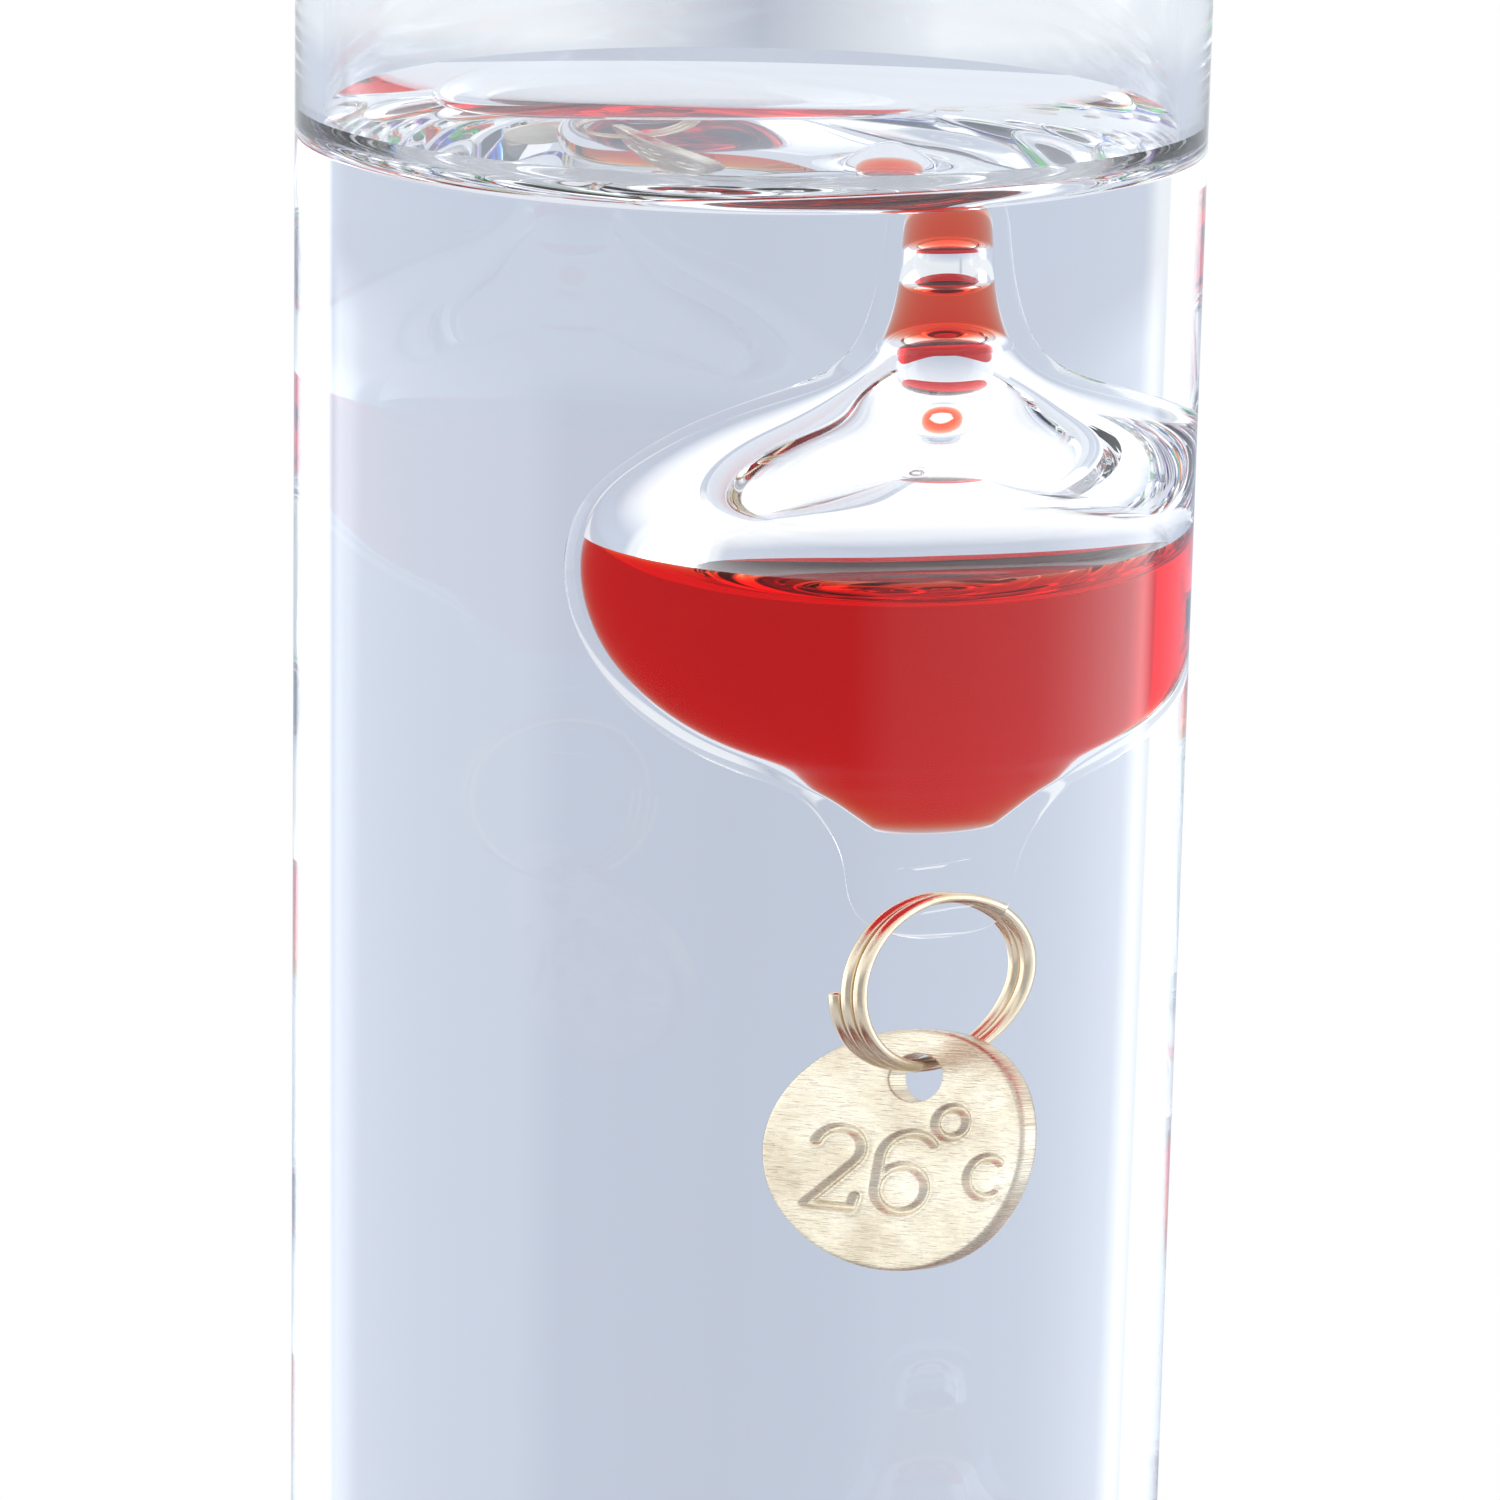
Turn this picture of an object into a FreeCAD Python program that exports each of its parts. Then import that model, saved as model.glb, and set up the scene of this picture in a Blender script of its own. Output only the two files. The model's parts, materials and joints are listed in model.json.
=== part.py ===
import FreeCAD, Part
import math
import os

from FreeCAD import Vector

os.makedirs("parts", exist_ok=True)

# All lengths in millimetres. Z points up, the flat foot stands on Z = 0.

# Glass tube
TUBE_R = 20.0
TUBE_WALL = 1.2
TUBE_H = 280.0
FOOT_THICK = 13.0
FOOT_EDGE_R = 2.2
FLOOR_CORNER_R = 7.0
DOME_START = 253.0
DOME_LEAD = 5.0
BORE_TOP = 272.4
LIQUID_LEVEL = 240.0
FIT_GAP = 0.03
ROOM = 0.12
FLOAT_ROOM = 0.2

# Outside of one blown float: (radius, height above the widest circle), bottom to top
FLOAT_OUTSIDE = [
    (0.0, -16.3), (1.3, -16.15), (2.25, -15.65), (2.75, -14.8), (2.95, -13.6), (3.1, -12.2),
    (3.65, -10.7), (4.85, -9.4), (6.6, -8.45), (8.4, -7.2), (9.9, -5.5), (10.95, -3.4),
    (11.45, -1.5), (11.57, 0.0), (11.43, 1.5), (10.9, 3.1), (9.7, 4.75), (8.3, 6.1), (6.7, 7.2),
    (5.1, 8.1), (3.8, 8.95), (2.95, 10.0), (2.45, 11.4), (2.15, 13.0), (1.97, 14.8), (1.75, 16.3),
    (1.25, 17.2), (0.0, 17.6),
]
# Inside of the float, from the small flat at the bottom of the dye to the top of the neck
FLOAT_FLOOR_R = 1.95
FLOAT_FLOOR_Z = -11.25
FLOAT_INSIDE = [
    (1.95, -11.25), (2.7, -10.45), (3.9, -9.2), (5.4, -8.15), (7.1, -7.2), (8.85, -5.75), (10.2, -3.8),
    (10.85, -1.9), (11.07, 0.0), (10.92, 1.5), (10.4, 3.0), (9.25, 4.5), (7.9, 5.7), (6.3, 6.75),
    (4.7, 7.6), (3.35, 8.45), (2.4, 9.5), (1.85, 10.8), (1.57, 12.2), (1.43, 13.8), (1.38, 15.2),
    (1.1, 16.2), (0.0, 16.7),
]
PAD_THICK = 2.3
PAD_FLAT_TOP = -14.0
PAD_BLEND_R = 3.0
EYE_R = 1.1
EYE_Z = -14.07

# Split ring
WIRE_R = 0.25
RING_R = 3.84
RING_PITCH = 0.54
RING_TURNS = 2.2
RING_ARCS = 18
RING_Z = -18.41
STRAND_SHIFT = RING_PITCH / 4

# Cutting tools reach farther than any piece they cut
CUT_REACH = 30.0

# Stamped tag
TAG_R = 5.5
TAG_THICK = 0.9
TAG_EDGE_R = 0.22
TAG_HOLE_R = 1.1
TAG_HOLE_UP = 3.3
TAG_HOLE_DROP = 0.6
TAG_LEAN = 10.0
TAG_YAW_TO_RING = 4.0
GROOVE_R = 0.21
GROOVE_LIFT = 0.06

# Each float: name, seat beside the tube's axis (x, y), height of its widest circle, turn of its ring
# about the upright in degrees, dye level, and the dye threads held in its neck
FLOATS = [
    ("26", 6.1, -0.2, 221.9, 0.0, 1.1, [(10.2, 13.0), (14.3, 16.3)]),
    ("24", -6.85, 0.7, 159.0, 70.0, 0.6, [(10.6, 14.6)]),
    ("22", 6.75, -1.2, 121.5, -55.0, 0.1, [(11.0, 15.6)]),
    ("20", -6.75, -1.3, 84.0, 25.0, -0.4, [(10.4, 14.0)]),
    ("18", 6.8, 1.1, 46.5, 120.0, -0.9, [(11.2, 15.8)]),
]
RING_FACING = 52.0

# Tag characters as strokes on a grid in millimetres: ("arc", x, y, radius, from, to) or ("line", x, y, x, y)
STROKES = {
    "0": [("arc", 0.92, 2.65, 0.92, 0, 180), ("arc", 0.92, 0.92, 0.92, 180, 360),
          ("line", 0.0, 0.92, 0.0, 2.65), ("line", 1.84, 0.92, 1.84, 2.65)],
    "1": [("line", 0.92, 0.0, 0.92, 3.57), ("line", 0.92, 3.57, 0.3, 2.95), ("line", 0.35, 0.0, 1.5, 0.0)],
    "2": [("arc", 0.92, 2.65, 0.92, -38, 165), ("line", 1.645, 2.084, 0.0, 0.0),
          ("line", 0.0, 0.0, 1.8, 0.0), ("line", 1.8, 0.0, 1.88, 0.55)],
    "4": [("line", 1.45, 0.0, 1.45, 3.57), ("line", 1.45, 3.57, 0.0, 1.1), ("line", 0.0, 1.1, 2.0, 1.1)],
    "6": [("arc", 1.05, 1.05, 1.05, 0, 360), ("arc", 1.2, 2.4, 1.2, 40, 180),
          ("line", 0.0, 1.05, 0.0, 2.4)],
    "8": [("arc", 0.95, 0.95, 0.95, 0, 360), ("arc", 0.95, 2.72, 0.8, 0, 360)],
}
CHAR_BASE = -2.8
CHAR_LEFT = (-3.45, -0.82)
DEGREE_MARK = ("arc", 1.9, 1.42, 0.68, 0, 360)
UNIT_MARK = ("arc", 3.95, -0.9, 0.9, 50, 310)


def spline_edges(points, lead=None, tail=None, pieces=4):
    """A smooth run of edges through (radius, height) points. An extra point before the first or after
    the last one, lead or tail, steers that end and is not part of the run."""
    run = ([lead] if lead else []) + list(points) + ([tail] if tail else [])
    curve = Part.BSplineCurve()
    curve.interpolate(Points=[Vector(r, 0, z) for r, z in run])
    last = len(points) - 1
    breaks = []
    for i in range(pieces + 1):
        r, z = points[i * last // pieces]
        breaks.append(curve.parameter(Vector(r, 0, z)))
    return [curve.toShape(a, b) for a, b in zip(breaks, breaks[1:])]


def across(point):
    """The same point on the other side of the upright, which makes a curve meet the upright squarely."""
    return (-point[0], point[1])


def line_edge(a, b):
    return Part.makeLine(Vector(a[0], 0, a[1]), Vector(b[0], 0, b[1]))


def turned(edges):
    """The solid made by turning a closed outline of (radius, height) edges about the upright."""
    face = Part.Face(Part.Wire(edges))
    solid = face.revolve(Vector(0, 0, 0), Vector(0, 0, 1), 360)
    if solid.Volume < 0:
        solid.reverse()
    return solid


def moved_off(points, gap):
    """The outline with each point moved sideways by gap; a positive gap is towards larger radius."""
    out = []
    for i, (r, z) in enumerate(points):
        before = points[max(i - 1, 0)]
        after = points[min(i + 1, len(points) - 1)]
        dr, dz = after[0] - before[0], after[1] - before[1]
        size = math.hypot(dr, dz)
        if r == 0.0:
            out.append((0.0, z + math.copysign(gap, z)))
        else:
            out.append((max(r + gap * dz / size, 0.05), z - gap * dr / size))
    return out


def float_outside(gap=0.0):
    points = moved_off(FLOAT_OUTSIDE, gap) if gap else FLOAT_OUTSIDE
    edges = spline_edges(points, across(points[1]), across(points[-2]))
    return turned(edges + [line_edge(points[-1], points[0])])


def float_inside(gap=0.0):
    points = moved_off(FLOAT_INSIDE, -gap) if gap else list(FLOAT_INSIDE)
    floor_z = FLOAT_FLOOR_Z + gap
    points[0] = (FLOAT_FLOOR_R - gap, floor_z)
    edges = spline_edges(points, None, across(points[-2]))
    return turned(edges + [line_edge(points[-1], (0.0, floor_z)), line_edge((0.0, floor_z), points[0])])


def slab(low, high):
    return Part.makeCylinder(CUT_REACH, high - low, Vector(0, 0, low))


def pad_cutters():
    """Two solids that flatten the stem under a float into a pad whose faces look along Y."""
    half = PAD_THICK / 2
    out = half + PAD_BLEND_R
    top = PAD_FLAT_TOP + PAD_BLEND_R
    middle = (out - PAD_BLEND_R * math.cos(math.pi / 4), PAD_FLAT_TOP + PAD_BLEND_R * math.sin(math.pi / 4))
    side = -CUT_REACH
    spots = [Vector(side, half, -CUT_REACH), Vector(side, half, PAD_FLAT_TOP), Vector(side, out, top),
             Vector(side, CUT_REACH, top), Vector(side, CUT_REACH, -CUT_REACH)]
    arc = Part.Arc(spots[1], Vector(side, middle[0], middle[1]), spots[2]).toShape()
    edges = [Part.makeLine(spots[0], spots[1]), arc, Part.makeLine(spots[2], spots[3]),
             Part.makeLine(spots[3], spots[4]), Part.makeLine(spots[4], spots[0])]
    cutter = Part.Face(Part.Wire(edges)).extrude(Vector(2 * CUT_REACH, 0, 0))
    other = cutter.copy()
    other.rotate(Vector(0, 0, 0), Vector(0, 0, 1), 180)
    return [cutter, other]


def bulb():
    """Blown glass float with a closed neck and a pierced, flattened pad. The eye runs along Y."""
    shape = float_outside().cut(float_inside())
    for cutter in pad_cutters():
        shape = shape.cut(cutter)
    eye = Part.makeCylinder(EYE_R, 2 * CUT_REACH, Vector(STRAND_SHIFT, -CUT_REACH, EYE_Z), Vector(0, 1, 0))
    return shape.cut(eye)


def coil_point(angle):
    """A point of the ring's centre line, angle degrees along its wire. The ring's own axis runs along X."""
    turn = math.radians(angle)
    along_axis = RING_PITCH * (angle / 360 - 1)
    return Vector(along_axis, -RING_R * math.cos(turn), RING_Z - RING_R * math.sin(turn))


def split_ring():
    """Wire wound a little over two turns, as a chain of arcs that leave each other without a kink."""
    here = coil_point(0)
    slope = RING_PITCH / (2 * math.pi * RING_R)
    heading = Vector(slope, 0, -1).normalize()
    section = Part.Face(Part.Wire(Part.makeCircle(WIRE_R, here, heading)))
    arcs = []
    for i in range(1, RING_ARCS + 1):
        there = coil_point(360 * RING_TURNS * i / RING_ARCS)
        chord = there - here
        straight = Vector(chord).normalize()
        ahead = heading.dot(straight)
        outward = (heading - straight * ahead).normalize()
        rise = chord.Length / 2 * (1 - ahead) / math.sqrt(1 - ahead * ahead)
        arcs.append(Part.Arc(here, here + chord * 0.5 + outward * rise, there).toShape())
        heading = straight * (2 * ahead) - heading
        here = there
    return Part.Wire(arcs).makePipe(section)


def stroke_tool(stroke, face_y):
    """A round cutter lying along one stroke, just proud of the tag's face at face_y."""
    side = math.copysign(1, face_y)
    level = face_y + side * GROOVE_LIFT
    if stroke[0] == "line":
        x0, z0, x1, z1 = stroke[1:]
        start, end = Vector(x0, level, z0), Vector(x1, level, z1)
        rod = Part.makeCylinder(GROOVE_R, (end - start).Length, start, end - start)
        return [rod, Part.makeSphere(GROOVE_R, start), Part.makeSphere(GROOVE_R, end)]
    x, z, radius, first, last = stroke[1:]
    centre = Vector(x, level, z)
    if last - first >= 360:
        return [Part.makeTorus(radius, GROOVE_R, centre, Vector(0, -1, 0))]
    middle = math.radians((first + last) / 2)

    def at(angle):
        return Vector(x + radius * math.cos(angle), level, z + radius * math.sin(angle))

    start, end = at(math.radians(first)), at(math.radians(last))
    path = Part.Wire(Part.Arc(start, at(middle), end).toShape())
    along = Vector(-math.sin(math.radians(first)), 0, math.cos(math.radians(first)))
    section = Part.Wire(Part.makeCircle(GROOVE_R, start, along))
    tube = path.makePipeShell([section], True, True)
    return [tube, Part.makeSphere(GROOVE_R, start), Part.makeSphere(GROOVE_R, end)]


def tag(number):
    """Stamped disc, faces along Y, centred on the origin, read from both sides."""
    disc = Part.makeCylinder(TAG_R, TAG_THICK, Vector(0, -TAG_THICK / 2, 0), Vector(0, 1, 0))
    disc = disc.makeFillet(TAG_EDGE_R, disc.Edges)
    hole = Part.makeCylinder(TAG_HOLE_R, 2 * TAG_THICK, Vector(0, -TAG_THICK, TAG_HOLE_UP), Vector(0, 1, 0))
    disc = disc.cut(hole)
    strokes = [DEGREE_MARK, UNIT_MARK]
    for left, digit in zip(CHAR_LEFT, number):
        for stroke in STROKES[digit]:
            moved = list(stroke)
            moved[1] += left
            moved[2] += CHAR_BASE
            if stroke[0] == "line":
                moved[3] += left
                moved[4] += CHAR_BASE
            strokes.append(tuple(moved))
    for stroke in strokes:
        tools = stroke_tool(stroke, -TAG_THICK / 2)
        back = []
        for tool in tools:
            mirrored = tool.copy()
            mirrored.rotate(Vector(0, 0, 0), Vector(0, 0, 1), 180)
            back.append(mirrored)
        for tool in tools + back:
            disc = disc.cut(tool)
    return disc


def hung(shape):
    """A piece centred on the origin, hung on the ring's bottom strands as a tag leans and turns there."""
    shape.translate(Vector(0, 0, -TAG_HOLE_UP))
    shape.rotate(Vector(0, 0, 0), Vector(1, 0, 0), -TAG_LEAN)
    shape.rotate(Vector(0, 0, 0), Vector(0, 0, 1), TAG_YAW_TO_RING)
    shape.translate(Vector(-STRAND_SHIFT, 0, RING_Z - RING_R - TAG_HOLE_DROP))
    return shape


def tag_envelope():
    """The room that a tag takes up in the liquid."""
    half = TAG_THICK / 2 + ROOM
    return hung(Part.makeCylinder(TAG_R + ROOM, 2 * half, Vector(0, -half, 0), Vector(0, 1, 0)))


def ring_envelope():
    """The room that a ring takes up in the liquid."""
    half = RING_PITCH * RING_TURNS / 2 + WIRE_R + 2 * ROOM
    return Part.makeCylinder(RING_R + WIRE_R + ROOM, 2 * half, Vector(-half, 0, RING_Z), Vector(1, 0, 0))


def place(shape, spot):
    """Turn a float's piece to the way its ring faces and move it to its seat in the tube."""
    out = shape.copy()
    out.rotate(Vector(0, 0, 0), Vector(0, 0, 1), spot[4] - (90 - RING_FACING))
    out.translate(Vector(spot[1], spot[2], spot[3]))
    return out


def corner_arc(radius, low, corner):
    """The rounded corner between a flat bottom at height low and an upright wall of that radius."""
    centre_r = radius - corner
    centre_z = low + corner
    reach = corner * math.sin(math.pi / 4)
    return Part.Arc(
        Vector(centre_r, 0, low), Vector(centre_r + reach, 0, centre_z - reach), Vector(radius, 0, centre_z),
    ).toShape()


def tube_outside():
    foot_arc = corner_arc(TUBE_R, 0, FOOT_EDGE_R)
    dome = spline_edges(
        [(TUBE_R, DOME_START), (19.4, 257.6), (17.4, 262.2), (13.6, 266.2), (8.9, 268.9), (5.3, 271.0),
         (3.7, 274.0), (3.1, 277.0), (2.1, 279.2), (0.0, TUBE_H)],
        (TUBE_R, DOME_START - DOME_LEAD), (-2.1, 279.2), 2,
    )
    straight = [
        line_edge((0, 0), (TUBE_R - FOOT_EDGE_R, 0)),
        foot_arc,
        line_edge((TUBE_R, FOOT_EDGE_R), (TUBE_R, DOME_START)),
    ]
    return turned(straight + dome + [line_edge((0, TUBE_H), (0, 0))])


def tube_inside(gap=0.0, top=None):
    """The bore, or the part of it up to top."""
    radius = TUBE_R - TUBE_WALL - gap
    corner = FLOOR_CORNER_R
    low = FOOT_THICK + gap
    bend = corner_arc(radius, low, corner)
    edges = [line_edge((0, low), (radius - corner, low)), bend]
    if top is not None:
        edges += [line_edge((radius, low + corner), (radius, top)), line_edge((radius, top), (0, top)),
                  line_edge((0, top), (0, low))]
        return turned(edges)
    dome = spline_edges(
        [(radius, DOME_START), (18.2, 257.4), (16.3, 261.4), (12.8, 264.7), (8.2, 267.2), (4.3, 269.2),
         (1.6, 271.6), (0.0, BORE_TOP)],
        (radius, DOME_START - DOME_LEAD), (-1.6, 271.6), 2,
    )
    edges.append(line_edge((radius, low + corner), (radius, DOME_START)))
    edges += dome
    edges.append(line_edge((0, BORE_TOP), (0, low)))
    return turned(edges)


def save(name, shape):
    solids = shape.Solids
    if len(solids) != 1:
        raise ValueError(name + " is not one solid: " + str(len(solids)))
    solids[0].exportStep("parts/" + name + ".step")


save("glass_tube", tube_outside().cut(tube_inside()))

liquid = tube_inside(FIT_GAP, LIQUID_LEVEL)
glass = bulb()
ring = split_ring()
for spot in FLOATS:
    number = spot[0]
    save("bulb_" + number, place(glass, spot))
    level = spot[5]
    hollow = float_inside(FIT_GAP)
    pool = hollow.common(slab(-CUT_REACH, level))
    save("dye_" + number, place(pool, spot))
    for i, (low, high) in enumerate(spot[6]):
        thread = hollow.common(slab(low, high))
        save(("neck_dye_", "tip_dye_")[i] + number, place(thread, spot))
    save("ring_" + number, place(ring, spot))
    save("tag_" + number, place(hung(tag(number)), spot))
    for envelope in (float_outside(FLOAT_ROOM), ring_envelope(), tag_envelope()):
        liquid = liquid.cut(place(envelope, spot))
save("fill_liquid", max(liquid.Solids, key=lambda s: s.Volume))
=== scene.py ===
import json
import math

import bmesh
import bpy
import numpy as np
from mathutils import Matrix, Vector
from mathutils.geometry import delaunay_2d_cdt


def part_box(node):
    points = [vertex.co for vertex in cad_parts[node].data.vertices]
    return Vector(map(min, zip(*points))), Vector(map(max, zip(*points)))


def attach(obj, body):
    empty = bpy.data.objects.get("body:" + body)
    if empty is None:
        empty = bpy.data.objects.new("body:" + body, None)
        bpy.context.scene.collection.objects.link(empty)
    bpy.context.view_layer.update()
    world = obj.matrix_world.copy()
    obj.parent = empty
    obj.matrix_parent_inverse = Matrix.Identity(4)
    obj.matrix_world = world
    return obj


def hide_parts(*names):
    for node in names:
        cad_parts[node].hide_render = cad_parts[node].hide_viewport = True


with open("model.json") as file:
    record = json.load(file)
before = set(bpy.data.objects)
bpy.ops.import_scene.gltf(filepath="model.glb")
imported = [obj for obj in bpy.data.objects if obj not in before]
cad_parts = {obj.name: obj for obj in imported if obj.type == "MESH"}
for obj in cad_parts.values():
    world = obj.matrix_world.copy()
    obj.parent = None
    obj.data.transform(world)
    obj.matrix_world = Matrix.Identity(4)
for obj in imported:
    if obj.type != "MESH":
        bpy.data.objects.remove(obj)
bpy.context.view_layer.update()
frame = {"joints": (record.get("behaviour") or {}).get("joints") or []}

# Lengths are in millimetres up to build(), which turns them into metres. Z points up.
MM = 0.001

# The tube and its liquid, from the frame
tube_low, tube_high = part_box("glass_tube")
TUBE_R = tube_high.x / MM
TUBE_H = tube_high.z / MM
LIQUID_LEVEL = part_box("fill_liquid")[1].z / MM
LIQUID_FLOOR = round(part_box("fill_liquid")[0].z / MM)
TUBE_WALL = 1.2
BORE_R = TUBE_R - TUBE_WALL
FOOT_EDGE_R = 2.2
FLOOR_CORNER_R = 7.0
DOME_START = 253.0
DOME_OUTSIDE = [
    (TUBE_R, DOME_START), (19.4, 257.6), (17.4, 262.2), (13.6, 266.2), (8.9, 268.9), (5.3, 271.0),
    (3.7, 274.0), (3.1, 277.0), (2.1, 279.2), (0.0, TUBE_H),
]
DOME_INSIDE = [
    (BORE_R, DOME_START), (18.2, 257.4), (16.3, 261.4), (12.8, 264.7), (8.2, 267.2), (4.3, 269.2),
    (1.6, 271.6), (0.0, 272.4),
]
# The free surface lies a little lower in the middle than where it wets the wall and the top float's neck
SURFACE_DROP = 0.85
MENISCUS_RISE = 2.35
MENISCUS_REACH = 1.75
NECK_RISE = 1.0
NECK_REACH = 1.6
DYE_RISE = 1.75
DYE_REACH = 1.3
# How far the middle of a dye thread's end rises over its rim
THREAD_LOW_BULGE = 1.2
THREAD_HIGH_BULGE = -0.7
UPPER_LOW_BULGE = 0.65

# One blown float: (radius, height above its widest circle), bottom to top
FLOAT_OUTSIDE = [
    (0.0, -16.3), (1.3, -16.15), (2.25, -15.65), (2.75, -14.8), (2.95, -13.6), (3.1, -12.2),
    (3.65, -10.7), (4.85, -9.4), (6.6, -8.45), (8.4, -7.2), (9.9, -5.5), (10.95, -3.4),
    (11.45, -1.5), (11.57, 0.0), (11.43, 1.5), (10.9, 3.1), (9.7, 4.75), (8.3, 6.1), (6.7, 7.2),
    (5.1, 8.1), (3.8, 8.95), (2.95, 10.0), (2.45, 11.4), (2.15, 13.0), (1.97, 14.8), (1.75, 16.3),
    (1.25, 17.2), (0.0, 17.6),
]
FLOAT_INSIDE = [
    (1.95, -11.25), (2.7, -10.45), (3.9, -9.2), (5.4, -8.15), (7.1, -7.2), (8.85, -5.75), (10.2, -3.8),
    (10.85, -1.9), (11.07, 0.0), (10.92, 1.5), (10.4, 3.0), (9.25, 4.5), (7.9, 5.7), (6.3, 6.75),
    (4.7, 7.6), (3.35, 8.45), (2.4, 9.5), (1.85, 10.8), (1.57, 12.2), (1.43, 13.8), (1.38, 15.2),
    (1.1, 16.2), (0.0, 16.7),
]
FLOAT_TOP = 17.6
CAVITY_FLOOR = -11.25
CAVITY_TOP = 16.7
PAD_THICK = 2.3
PAD_FLAT_TOP = -14.0
PAD_BLEND_R = 3.0
EYE_R = 1.1
EYE_Z = -14.07

# Split ring: the coil's axis runs along the float's X
WIRE_R = 0.25
RING_R = 3.84
RING_PITCH = 0.54
RING_TURNS = 2.2
RING_Z = -18.41
STRAND_SHIFT = RING_PITCH / 4

# Stamped tag
TAG_R = 5.5
TAG_THICK = 0.9
TAG_EDGE_R = 0.22
TAG_HOLE_R = 1.1
TAG_HOLE_EDGE_R = 0.06
TAG_HOLE_UP = 3.3
TAG_HOLE_DROP = 0.6
TAG_LEAN = 10.0
TAG_YAW_TO_RING = 4.0
STAMP_HALF = 0.23
STAMP_DEPTH = 0.17
STAMP_LIP = 0.04

# Tag characters as strokes in millimetres: ("arc", x, y, radius, from, to) or ("line", x, y, x, y)
STROKES = {
    "0": [("arc", 0.92, 2.65, 0.92, 0, 180), ("arc", 0.92, 0.92, 0.92, 180, 360),
          ("line", 0.0, 0.92, 0.0, 2.65), ("line", 1.84, 0.92, 1.84, 2.65)],
    "1": [("line", 0.92, 0.0, 0.92, 3.57), ("line", 0.92, 3.57, 0.3, 2.95), ("line", 0.35, 0.0, 1.5, 0.0)],
    "2": [("arc", 0.92, 2.65, 0.92, -38, 165), ("line", 1.645, 2.084, 0.0, 0.0),
          ("line", 0.0, 0.0, 1.8, 0.0), ("line", 1.8, 0.0, 1.88, 0.55)],
    "4": [("line", 1.45, 0.0, 1.45, 3.57), ("line", 1.45, 3.57, 0.0, 1.1), ("line", 0.0, 1.1, 2.0, 1.1)],
    "6": [("arc", 1.05, 1.05, 1.05, 0, 360), ("arc", 1.2, 2.4, 1.2, 40, 180),
          ("line", 0.0, 1.05, 0.0, 2.4)],
    "8": [("arc", 0.95, 0.95, 0.95, 0, 360), ("arc", 0.95, 2.72, 0.8, 0, 360)],
}
CHAR_BASE = -2.8
CHAR_LEFT = (-3.45, -0.82)
DEGREE_MARK = ("arc", 1.9, 1.42, 0.68, 0, 360)
UNIT_MARK = ("arc", 3.95, -0.9, 0.9, 50, 310)

# Each float: its number, the dye's level in its bulb, and the dye threads in its neck
FLOATS = [
    ("26", -0.3, [(10.0, 13.05), (14.35, None)]),
    ("24", -0.8, [(10.6, 14.6)]),
    ("22", -1.3, [(11.0, 15.6)]),
    ("20", -1.8, [(10.4, 14.0)]),
    ("18", -2.3, [(11.2, 15.8)]),
]
DYE_COLOURS = {
    "26": ("red", (0.9935, 0.27, 0.0), 1120.0),
    "24": ("orange", (0.99, 0.62, 0.0), 520.0),
    "22": ("green", (0.1, 0.85, 0.25), 420.0),
    "20": ("blue", (0.0, 0.45, 0.93), 420.0),
    "18": ("purple", (0.55, 0.05, 0.8), 400.0),
}

# Refractive indices
GLASS_N = 1.474
LIQUID_N = 1.44
FLOAT_GLASS_N = 1.465
DYE_N = 1.44

# How much light a clear surface lets through, between its clearest and its least clear streaks
CLEAREST = (1.0, 1.0, 1.0)
LEAST_CLEAR = (0.996, 0.996, 0.996)

# A ray runs down the tube and back between its walls before it leaves, so it needs many bounces
MOST_BOUNCES = 96
MOST_REFLECTIONS = 48

# Camera: its place beside and above the liquid's surface in millimetres, and its angles in degrees
CAMERA_X = 0.49
CAMERA_Y = -276.6
CAMERA_UP = 41.5
CAMERA_PITCH = 14.0
CAMERA_ROLL = 1.17
CAMERA_LENS = 152.2

# The table: its radius, and how far it lies under the foot
TABLE_R = 420.0
TABLE_DROP = 0.3

AROUND_TUBE = 256
AROUND_FLOAT = 144


# ---------------------------------------------------------------- camera and light

def make_camera():
    """The camera stands a little above the liquid's surface and looks down past it."""
    pitch = math.radians(CAMERA_PITCH)
    roll = math.radians(CAMERA_ROLL)
    right = Vector((1, 0, 0))
    forward = Vector((0, math.cos(pitch), -math.sin(pitch)))
    down = Vector((0, -math.sin(pitch), -math.cos(pitch)))
    up = -(down * math.cos(roll) + right * math.sin(roll))
    side = forward.cross(up)
    turn = Matrix((side, up, -forward)).transposed()
    data = bpy.data.cameras.new("camera")
    data.sensor_width = 36
    data.lens = CAMERA_LENS
    data.clip_start = 0.01
    camera = bpy.data.objects.new("camera", data)
    place = Vector((CAMERA_X, CAMERA_Y, LIQUID_LEVEL + CAMERA_UP)) * MM
    camera.matrix_world = Matrix.Translation(place) @ turn.to_4x4()
    bpy.context.scene.collection.objects.link(camera)
    bpy.context.scene.camera = camera


def ramp(tree, factor, stops):
    """A colour that runs through (position, colour) stops."""
    node = tree.nodes.new("ShaderNodeValToRGB")
    elements = node.color_ramp.elements
    while len(elements) < len(stops):
        elements.new(0.5)
    for element, (place, colour) in zip(elements, stops):
        element.position = place
        element.color = (*colour, 1.0)
    tree.links.new(factor, node.inputs["Fac"])
    return node.outputs["Color"]


def math_node(tree, operation, *values, clamp=False):
    node = tree.nodes.new("ShaderNodeMath")
    node.operation = operation
    node.use_clamp = clamp
    for socket, value in zip(node.inputs, values):
        if isinstance(value, (int, float)):
            socket.default_value = value
        else:
            tree.links.new(value, socket)
    return node.outputs[0]


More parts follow.
